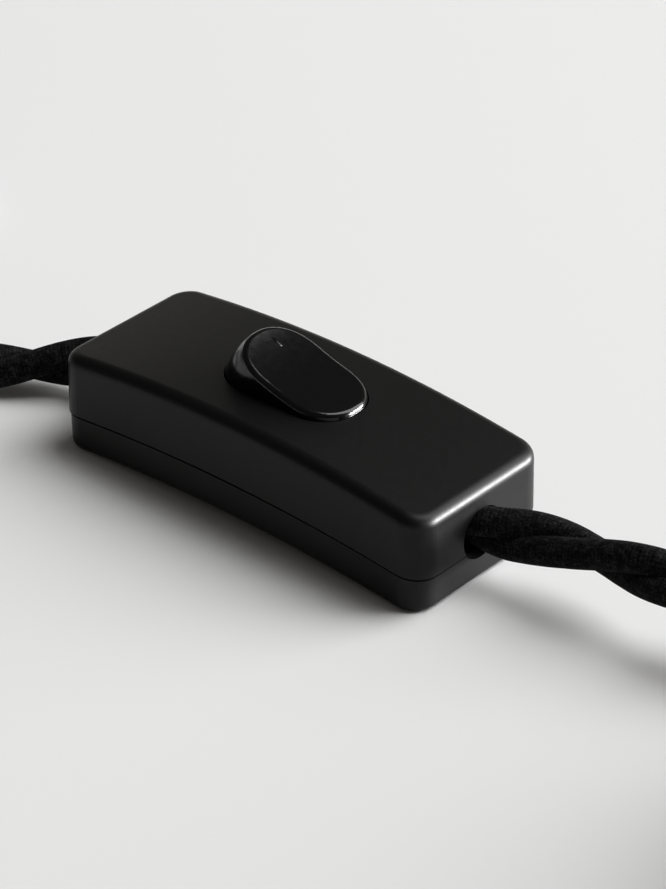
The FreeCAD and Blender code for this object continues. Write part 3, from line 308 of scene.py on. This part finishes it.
class Shader:
    """A material's nodes, with short ways to add and join them."""

    def __init__(self, name):
        self.material = bpy.data.materials.new(name)
        self.material.use_nodes = True
        self.tree = self.material.node_tree
        self.surface = self.tree.nodes["Principled BSDF"]

    def node(self, kind, **inputs):
        made = self.tree.nodes.new(kind)
        for socket, value in inputs.items():
            made.inputs[socket.replace("_", " ")].default_value = value
        return made

    def join(self, output, socket):
        self.tree.links.new(output, socket)

    def set(self, **inputs):
        for socket, value in inputs.items():
            self.surface.inputs[socket.replace("_", " ")].default_value = value

    def maths(self, operation, *values):
        made = self.tree.nodes.new("ShaderNodeMath")
        made.operation = operation
        for socket, value in zip(made.inputs, values):
            if isinstance(value, (int, float)):
                socket.default_value = value
            else:
                self.join(value, socket)
        return made.outputs[0]

    def noise(self, scale, detail=2.0, roughness=0.5):
        """Grain that stays with the piece."""
        places = self.tree.nodes.new("ShaderNodeTexCoord")
        grain = self.node("ShaderNodeTexNoise", Scale=scale, Detail=detail, Roughness=roughness)
        self.join(places.outputs["Object"], grain.inputs["Vector"])
        return grain.outputs["Fac"]

    def span(self, value, low, high):
        """The value, from 0 to 1, spread from low to high."""
        made = self.node("ShaderNodeMapRange", To_Min=low, To_Max=high)
        self.join(value, made.inputs["Value"])
        return made.outputs["Result"]

    def bump(self, height, strength, distance):
        made = self.node("ShaderNodeBump", Strength=strength, Distance=distance)
        self.join(height, made.inputs["Height"])
        self.join(made.outputs["Normal"], self.surface.inputs["Normal"])

    def shades(self, value, dark, light):
        """A colour between two shades."""
        made = self.tree.nodes.new("ShaderNodeMix")
        made.data_type = "RGBA"
        made.inputs[MIX_DARK].default_value = (*dark, 1)
        made.inputs[MIX_LIGHT].default_value = (*light, 1)
        self.join(value, made.inputs[MIX_FACTOR])
        self.join(made.outputs[MIX_RESULT], self.surface.inputs["Base Color"])


def shade(colour, share):
    """A colour made lighter or darker."""
    return tuple(min(1.0, part * share) for part in colour)


def moulded_plastic(name, colour, roughness, grain, specular=0.5):
    """Moulded plastic with a fine grain and slightly uneven gloss."""
    made = Shader(name)
    made.set(Base_Color=(*colour, 1), Specular_IOR_Level=specular)
    made.join(made.span(made.noise(scale=900, detail=3), roughness - 0.05, roughness + 0.05),
              made.surface.inputs["Roughness"])
    made.bump(made.noise(scale=5200, detail=2), strength=grain, distance=0.0001)


def metal(name, colour, roughness):
    """Plain metal with slightly uneven gloss."""
    made = Shader(name)
    made.set(Base_Color=(*colour, 1), Metallic=1.0)
    made.join(made.span(made.noise(scale=1400, detail=3), roughness - 0.06, roughness + 0.08),
              made.surface.inputs["Roughness"])


def braid(name, colour):
    """Braided textile, drawn along and round a strand by its own map."""
    made = Shader(name)
    layer = made.tree.nodes.new("ShaderNodeUVMap")
    layer.uv_map = "along"
    parts = made.tree.nodes.new("ShaderNodeSeparateXYZ")
    made.join(layer.outputs["UV"], parts.inputs["Vector"])
    turns = 2 * math.pi * BRAID_CELLS
    drift = made.maths("SUBTRACT", made.noise(scale=900, detail=3, roughness=0.6), 0.5)
    wander = made.maths("MULTIPLY", drift, BRAID_WANDER)
    around = made.maths("ADD", made.maths("MULTIPLY", parts.outputs["X"], turns), wander)
    along = made.maths("MULTIPLY", parts.outputs["Y"], turns)
    left = made.maths("SINE", made.maths("ADD", around, along))
    right = made.maths("SINE", made.maths("SUBTRACT", around, along))
    cells = made.maths("MULTIPLY_ADD", left, right, 0.5)
    fibres = made.noise(scale=4200, detail=4, roughness=0.6)
    patches = made.noise(scale=1100, detail=3, roughness=0.6)
    height = made.maths("ADD", made.maths("MULTIPLY", cells, BRAID_CELL_HEIGHT),
                        made.maths("MULTIPLY", patches, BRAID_PATCH_HEIGHT))
    height = made.maths("ADD", height, made.maths("MULTIPLY", fibres, BRAID_FIBRE_HEIGHT))
    made.bump(height, strength=0.8, distance=0.0003)
    # Painted sheen and shade: fibre specks are made lighter to stand for lit fuzz, and the weave's crowns are painted
    # lighter than its hollows.
    painted_sheen_and_shade = made.maths("ADD", made.maths("MULTIPLY", fibres, patches),
                      made.maths("MULTIPLY", cells, BRAID_CELL_SHADE))
    painted_sheen_and_shade = made.maths("POWER", made.maths("MULTIPLY", painted_sheen_and_shade, BRAID_GAIN), BRAID_CONTRAST)
    dark, light = BRAID_SHADES
    made.shades(painted_sheen_and_shade, shade(colour, dark), shade(colour, light))
    made.set(Roughness=0.9, Specular_IOR_Level=0.03, Sheen_Weight=0.02, Sheen_Roughness=0.3)


def woven_strap(name, colour):
    """Woven strap with its ribs across the strap."""
    made = Shader(name)
    places = made.tree.nodes.new("ShaderNodeTexCoord")
    parts = made.tree.nodes.new("ShaderNodeSeparateXYZ")
    made.join(places.outputs["Object"], parts.inputs["Vector"])
    length = made.maths("ADD", parts.outputs["Y"], parts.outputs["Z"])
    ribs = made.maths("SINE", made.maths("MULTIPLY", length, 2 * math.pi / STRAP_RIB))
    yarns = made.maths("SINE", made.maths("MULTIPLY", parts.outputs["X"], 2 * math.pi / STRAP_YARN))
    weave = made.maths("MULTIPLY", ribs, yarns)
    height = made.maths("ADD", made.maths("MULTIPLY", weave, 0.5), made.noise(scale=3000, detail=3))
    made.bump(height, strength=0.5, distance=0.0003)
    dark, light = STRAP_SHADES
    # Painted shade: the strap's colour is lighter on the weave's crowns and darker in its hollows.
    made.shades(made.maths("MULTIPLY_ADD", weave, 0.35, 0.5), shade(colour, dark), shade(colour, light))
    made.set(Roughness=0.9, Specular_IOR_Level=0.2, Sheen_Weight=0.15)


def make_finishes(lead, finish):
    """Makes every material of the switch."""
    moulded_plastic("housing plastic", finish.housing, roughness=0.41, grain=0.12, specular=0.16)
    moulded_plastic("rocker plastic", finish.rocker, roughness=0.15, grain=0.01, specular=0.35)
    moulded_plastic("plug plastic", finish.plug, roughness=0.30, grain=0.12, specular=0.06)
    for name, colour in PLASTICS.items():
        moulded_plastic(name, colour, PLASTIC_ROUGHNESS, PLASTIC_GRAIN)
    for name, (colour, roughness) in METALS.items():
        metal(name, colour, roughness)
    braid("textile braid", lead.colour)
    woven_strap("strap textile", finish.strap)


def finish_of(name):
    """One of the switch's materials."""
    return bpy.data.materials[name]


def coat(piece, name):
    """Gives a piece one material."""
    piece.data.materials.clear()
    piece.data.materials.append(finish_of(name))


def smooth_line(name, route):
    """Points along the smooth curve that a route's points control."""
    curve = bpy.data.curves.new(name, "CURVE")
    curve.dimensions = "3D"
    curve.resolution_u = SPAN_POINTS
    spline = curve.splines.new("NURBS")
    spline.points.add(len(route) - 1)
    for point, place in zip(spline.points, route):
        point.co = (*place, 1.0)
    spline.order_u = 3
    spline.use_endpoint_u = True
    line = linked(curve, name)
    mesh = bpy.data.meshes.new_from_object(line)
    places = [vertex.co.copy() for vertex in mesh.vertices]
    bpy.data.objects.remove(line)
    bpy.data.curves.remove(curve)
    bpy.data.meshes.remove(mesh)
    return places


def run_lengths(places):
    """Length along a line at each of its points."""
    lengths = [0.0]
    for before, after in zip(places, places[1:]):
        lengths.append(lengths[-1] + (after - before).length)
    return lengths


def headings(places):
    """Direction of a line at each of its points."""
    ends = zip([places[0]] + places[:-1], places[1:] + [places[-1]])
    return [(after - before).normalized() for before, after in ends]


def carried_sides(places, start):
    """A side direction at each point of a line, carried along it without twist."""
    ways = headings(places)
    side = (start - ways[0] * start.dot(ways[0])).normalized()
    sides = [side]
    for before, after in zip(ways, ways[1:]):
        side = before.rotation_difference(after) @ side
        side = (side - after * side.dot(after)).normalized()
        sides.append(side)
    return ways, sides


def strand_line(places, turn, lead, lay):
    """The middle line of one strand that winds left-handed about a lead's line."""
    ways, sides = carried_sides(places, Vector((0, 0, 1)))
    line = []
    for place, way, side, length in zip(places, ways, sides, run_lengths(places)):
        angle = turn - 2 * math.pi * length / lay
        out = side * math.cos(angle) + way.cross(side) * math.sin(angle)
        line.append(place + out * lead.strand_spacing / 2)
    return line


def strand_mesh(line, radius, corners, faces, marks):
    """Adds one strand's skin to lists of corners, faces and their map places."""
    ways, sides = carried_sides(line, Vector((0, 0, 1)))
    lengths = run_lengths(line)
    first = len(corners)
    for place, way, side in zip(line, ways, sides):
        other = way.cross(side)
        for step in range(STRAND_SIDES):
            angle = 2 * math.pi * step / STRAND_SIDES
            corners.append(place + (side * math.cos(angle) + other * math.sin(angle)) * radius)
    round_length = 2 * math.pi * radius
    for ring in range(len(line) - 1):
        low, high = lengths[ring] / round_length, lengths[ring + 1] / round_length
        for step in range(STRAND_SIDES):
            after = (step + 1) % STRAND_SIDES
            here, there = first + ring * STRAND_SIDES, first + (ring + 1) * STRAND_SIDES
            faces.append((here + step, here + after, there + after, there + step))
            left, right = step / STRAND_SIDES, (step + 1) / STRAND_SIDES
            marks.append(((left, low), (right, low), (right, high), (left, high)))
    for ring, turned in ((0, True), (len(line) - 1, False)):
        rim = [first + ring * STRAND_SIDES + step for step in range(STRAND_SIDES)]
        faces.append(tuple(reversed(rim)) if turned else tuple(rim))
        marks.append(tuple((0.0, 0.0) for step in rim))


def twisted_lead(name, route, turn, lay):
    """A lead of two braided strands twisted left-handed about a route's smooth curve."""
    lead = bpy.context.scene.switch_lead
    places = smooth_line(name, route)
    corners, faces, marks = [], [], []
    for strand in range(2):
        line = strand_line(places, turn + strand * math.pi, lead, lay)
        strand_mesh(line, lead.strand_diameter / 2, corners, faces, marks)
    mesh = bpy.data.meshes.new(name)
    mesh.from_pydata([tuple(corner) for corner in corners], [], faces)
    layer = mesh.uv_layers.new(name="along")
    layer.data.foreach_set("uv", [part for face in marks for mark in face for part in mark])
    mesh.polygons.foreach_set("use_smooth", [True] * len(mesh.polygons))
    mesh.validate()
    piece = linked(mesh, name)
    coat(piece, "textile braid")
    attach(piece, "base")
    return piece, places


class SWITCH_OT_finishes(bpy.types.Operator):
    """Makes the materials and gives each moulded or metal piece its own"""

    bl_idname = "switch.finishes"
    bl_label = "Finishes"
    bl_options = {"REGISTER", "UNDO"}

    def execute(self, context):
        make_finishes(context.scene.switch_lead, context.scene.switch_finish)
        for name, nodes in FINISHED_NODES.items():
            for node in nodes:
                coat(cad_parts[node], name)
        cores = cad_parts["lamp_end_cores"].data
        cores.materials.append(finish_of("blue insulation"))
        for face in cores.polygons:
            face.material_index = int(face.center.y > CORES_MIDDLE)
        return {"FINISHED"}


class SWITCH_OT_rocker_bar(bpy.types.Operator):
    """Raises the short bar on the rocker that marks its on side"""

    bl_idname = "switch.rocker_bar"
    bl_label = "Rocker bar"
    bl_options = {"REGISTER", "UNDO"}

    def execute(self, context):
        width, height = BAR_SIZE[1:]
        bpy.ops.object.select_all(action="DESELECT")
        bpy.ops.mesh.primitive_cube_add(size=1.0, scale=BAR_SIZE)
        piece = context.active_object
        piece.name = "rocker_bar"
        settle()
        bpy.ops.object.mode_set(mode="EDIT")
        pick_edges(piece, lambda edge: span_along(edge, 2) > height / 2)
        bpy.ops.mesh.bevel(offset=BAR_END_SHARE * width, segments=6, affect="EDGES")
        pick_edges(piece, lambda edge: all(corner.co.z > height / 4 for corner in edge.verts))
        bpy.ops.mesh.bevel(offset=BAR_TOP_SHARE * width, segments=4, affect="EDGES")
        bpy.ops.object.mode_set(mode="OBJECT")
        piece.rotation_euler = (0.0, BAR_SLOPE, 0.0)
        piece.location = BAR_PLACE
        settle()
        bpy.ops.object.shade_smooth_by_angle(angle=BAR_SMOOTH_ANGLE)
        coat(piece, "rocker plastic")
        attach(piece, "rocker")
        return {"FINISHED"}


class SWITCH_OT_spring(bpy.types.Operator):
    """Winds the plunger's spring at one length and hangs it on the rocker"""

    bl_idname = "switch.spring"
    bl_label = "Plunger spring"
    bl_options = {"REGISTER", "UNDO"}

    def execute(self, context):
        bpy.ops.object.select_all(action="DESELECT")
        bpy.ops.mesh.primitive_circle_add(
            vertices=SPRING_SIDES, radius=SPRING_WIRE / 2, rotation=(math.pi / 2, 0.0, 0.0),
            location=(SPRING_RADIUS, 0.0, SPRING_START))
        piece = context.active_object
        piece.name = "coil_spring"
        settle()
        apply_modifier(piece, "SCREW", angle=2 * math.pi, screw_offset=SPRING_RISE / SPRING_TURNS,
                       iterations=SPRING_TURNS, steps=SPRING_STEPS, render_steps=SPRING_STEPS)
        bpy.ops.object.mode_set(mode="EDIT")
        bpy.ops.mesh.select_all(action="SELECT")
        bpy.ops.mesh.remove_doubles(threshold=SPRING_WELD)
        bpy.ops.mesh.fill_holes(sides=0)
        bpy.ops.mesh.select_all(action="SELECT")
        bpy.ops.mesh.normals_make_consistent(inside=False)
        bpy.ops.object.mode_set(mode="OBJECT")
        piece.rotation_euler = (0.0, ROCKER_TILT, 0.0)
        piece.location = (0.0, 0.0, HINGE_HEIGHT)
        settle()
        bpy.ops.object.shade_smooth_by_angle(angle=SPRING_SMOOTH_ANGLE)
        coat(piece, "zinc plated steel")
        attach(piece, "rocker")
        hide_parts("plunger_spring")
        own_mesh(piece)
        return {"FINISHED"}


class SWITCH_OT_plug_lead(bpy.types.Operator):
    """Twists the lead from the switch through the hank to the plug"""

    bl_idname = "switch.plug_lead"
    bl_label = "Lead to the plug"
    bl_options = {"REGISTER", "UNDO"}

    def execute(self, context):
        lead = context.scene.switch_lead
        piece, places = twisted_lead("plug_lead", PLUG_ROUTE, lead.plug_side_turn, lead.lay_length)
        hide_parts("plug_cord", "plug_cord_hank", "plug_cord_tail")
        return {"FINISHED"}


class SWITCH_OT_lamp_lead(bpy.types.Operator):
    """Twists the lead from the switch to the bare lamp end"""

    bl_idname = "switch.lamp_lead"
    bl_label = "Lead to the lamp"
    bl_options = {"REGISTER", "UNDO"}

    def execute(self, context):
        lead = context.scene.switch_lead
        piece, places = twisted_lead("lamp_lead", LAMP_ROUTE, lead.lamp_side_turn, lead.lamp_lay_length)
        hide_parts("lamp_cord")
        return {"FINISHED"}


def soften_rim(piece):
    """Rounds the sharp rims of a strap."""
    apply_modifier(piece, "BEVEL", width=STRAP_RIM, segments=2, limit_method="ANGLE")


def strap_block(place, size):
    """A block that a strap's loop or free end is shaped from."""
    bpy.ops.object.select_all(action="DESELECT")
    bpy.ops.mesh.primitive_cube_add(size=1.0, location=place, scale=size)
    settle()
    bpy.ops.object.mode_set(mode="EDIT")
    return bpy.context.active_object


def strap_loop(place):
    """The strap's closed loop round both runs of the hank."""
    piece = strap_block((place, 0.0, STRAP_HEIGHT / 2), (STRAP_WIDTH, STRAP_DEPTH, STRAP_HEIGHT))
    shape = bmesh.from_edit_mesh(piece.data)
    for face in shape.faces:
        face.select_set(abs(face.normal.x) > 0.9)
    bpy.ops.mesh.delete(type="FACE")
    pick_edges(piece, lambda edge: span_along(edge, 0) > STRAP_WIDTH / 2)
    bpy.ops.mesh.bevel(offset=STRAP_CORNER, segments=8, affect="EDGES")
    bpy.ops.mesh.select_all(action="SELECT")
    bpy.ops.mesh.subdivide(number_cuts=1)
    bpy.ops.object.mode_set(mode="OBJECT")
    apply_modifier(piece, "SOLIDIFY", thickness=STRAP_THICKNESS, offset=-1.0)
    soften_rim(piece)
    return piece


def strap_end(place):
    """The strap's free end, folded down one side of the loop."""
    piece = strap_block((place, -STRAP_DEPTH / 2 - STRAP_THICKNESS / 2, STRAP_END_MIDDLE),
                        (STRAP_WIDTH, STRAP_THICKNESS, STRAP_END_LENGTH))
    pick_edges(piece, lambda edge: span_along(edge, 1) > STRAP_THICKNESS / 2
               and all(corner.co.z < STRAP_END_MIDDLE for corner in edge.verts))
    bpy.ops.mesh.bevel(offset=STRAP_END_CORNER, segments=6, affect="EDGES")
    bpy.ops.object.mode_set(mode="OBJECT")
    soften_rim(piece)
    return piece


def strap(name, place):
    """A woven strap round the hank."""
    piece, end = strap_loop(place), strap_end(place)
    piece.name = name
    end.select_set(True)
    piece.select_set(True)
    bpy.context.view_layer.objects.active = piece
    bpy.ops.object.join()
    bpy.ops.object.shade_smooth_by_angle(angle=STRAP_SMOOTH_ANGLE)
    coat(piece, "strap textile")
    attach(piece, "base")


class SWITCH_OT_straps(bpy.types.Operator):
    """Ties the hank with its two straps"""

    bl_idname = "switch.straps"
    bl_label = "Straps"
    bl_options = {"REGISTER", "UNDO"}

    def execute(self, context):
        for name, place in STRAP_PLACES.items():
            strap(name, place)
        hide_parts("hank_straps")
        return {"FINISHED"}


def stand_camera(stage):
    """The camera at the photo's angle."""
    camera = bpy.data.cameras.new("camera")
    camera.lens = stage.lens
    camera.sensor_width = SENSOR_WIDTH
    camera.clip_start = CLIP_START
    camera.clip_end = CLIP_END
    view = linked(camera, "camera")
    view.location = stage.camera_place
    view.rotation_euler = (math.pi / 2 - stage.elevation, 0.0, stage.azimuth)
    bpy.context.scene.camera = view


def lay_floor(colour):
    """A plain matt floor."""
    bpy.ops.object.select_all(action="DESELECT")
    bpy.ops.mesh.primitive_plane_add(size=FLOOR_WIDTH, location=(0.0, 0.0, 0.0))
    floor = bpy.context.active_object
    floor.name = "floor"
    paper = Shader("floor paper")
    paper.set(Base_Color=(*colour, 1), Roughness=1.0, Specular_IOR_Level=0.0)
    floor.data.materials.append(paper.material)


def hang_softbox(name, place, size, power, lights_surfaces):
    """A softbox that faces the switch and stays out of the picture."""
    lamp = bpy.data.lights.new(name, "AREA")
    lamp.shape = "RECTANGLE"
    lamp.size, lamp.size_y = size
    lamp.energy = power
    softbox = linked(lamp, name)
    softbox.location = place
    softbox.rotation_euler = Vector(place).to_track_quat("Z", "Y").to_euler()
    softbox.visible_diffuse = lights_surfaces
    softbox.visible_camera = False


def make_world():
    """A dim studio that is bright low behind the switch."""
    world = bpy.data.worlds.new("studio")
    world.use_nodes = True
    nodes, links = world.node_tree.nodes, world.node_tree.links
    background = nodes["Background"]

    def spread(value, source, target, curve):
        made = nodes.new("ShaderNodeMapRange")
        made.interpolation_type = curve
        made.inputs["From Min"].default_value, made.inputs["From Max"].default_value = source
        made.inputs["To Min"].default_value, made.inputs["To Max"].default_value = target
        links.new(value, made.inputs["Value"])
        return made.outputs["Result"]

    ways = nodes.new("ShaderNodeTexCoord")
    parts = nodes.new("ShaderNodeSeparateXYZ")
    links.new(ways.outputs["Generated"], parts.inputs["Vector"])
    both = nodes.new("ShaderNodeMath")
    both.operation = "MULTIPLY"
    links.new(spread(parts.outputs["Z"], WORLD_LOW, (1.0, 0.0), "SMOOTHSTEP"), both.inputs[0])
    links.new(spread(parts.outputs["Y"], WORLD_BEHIND, (0.0, 1.0), "SMOOTHSTEP"), both.inputs[1])
    links.new(spread(both.outputs["Value"], (0.0, 1.0), WORLD_STRENGTHS, "LINEAR"), background.inputs["Strength"])
    background.inputs["Color"].default_value = WORLD_COLOUR
    bpy.context.scene.world = world


class SWITCH_OT_stage(bpy.types.Operator):
    """Sets the camera, the soft light and the pale floor"""

    bl_idname = "switch.stage"
    bl_label = "Stage"
    bl_options = {"REGISTER", "UNDO"}

    def execute(self, context):
        stage = context.scene.switch_stage
        context.scene.view_settings.view_transform = "Standard"
        stand_camera(stage)
        lay_floor(stage.floor)
        for name, settings in SOFTBOXES.items():
            hang_softbox(name, *settings)
        make_world()
        return {"FINISHED"}


class SWITCH_PT_panel(bpy.types.Panel):
    """Steps that build the cord switch"""

    bl_idname = "SWITCH_PT_panel"
    bl_label = "Cord switch"
    bl_space_type = "VIEW_3D"
    bl_region_type = "UI"
    bl_category = "Cord switch"

    def draw(self, context):
        for group in (context.scene.switch_lead, context.scene.switch_finish, context.scene.switch_stage):
            for name in group.bl_rna.properties.keys():
                if name not in {"rna_type", "name"}:
                    self.layout.prop(group, name)
        for step in STEPS:
            self.layout.operator(step.bl_idname)


STEPS = [SWITCH_OT_stage, SWITCH_OT_finishes, SWITCH_OT_rocker_bar, SWITCH_OT_spring, SWITCH_OT_straps,
         SWITCH_OT_plug_lead, SWITCH_OT_lamp_lead]
CLASSES = [LeadSettings, FinishSettings, StageSettings, *STEPS, SWITCH_PT_panel]


def register():
    for kind in CLASSES:
        bpy.utils.register_class(kind)
    bpy.types.Scene.switch_lead = bpy.props.PointerProperty(type=LeadSettings)
    bpy.types.Scene.switch_finish = bpy.props.PointerProperty(type=FinishSettings)
    bpy.types.Scene.switch_stage = bpy.props.PointerProperty(type=StageSettings)


def unregister():
    del bpy.types.Scene.switch_stage
    del bpy.types.Scene.switch_finish
    del bpy.types.Scene.switch_lead
    for kind in reversed(CLASSES):
        bpy.utils.unregister_class(kind)


def main():
    register()
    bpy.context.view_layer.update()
    bpy.ops.switch.stage()
    bpy.ops.switch.finishes()
    bpy.ops.switch.rocker_bar()
    bpy.ops.switch.spring()
    bpy.ops.switch.straps()
    bpy.ops.switch.plug_lead()
    bpy.ops.switch.lamp_lead()


if __name__ == "__main__":
    main()
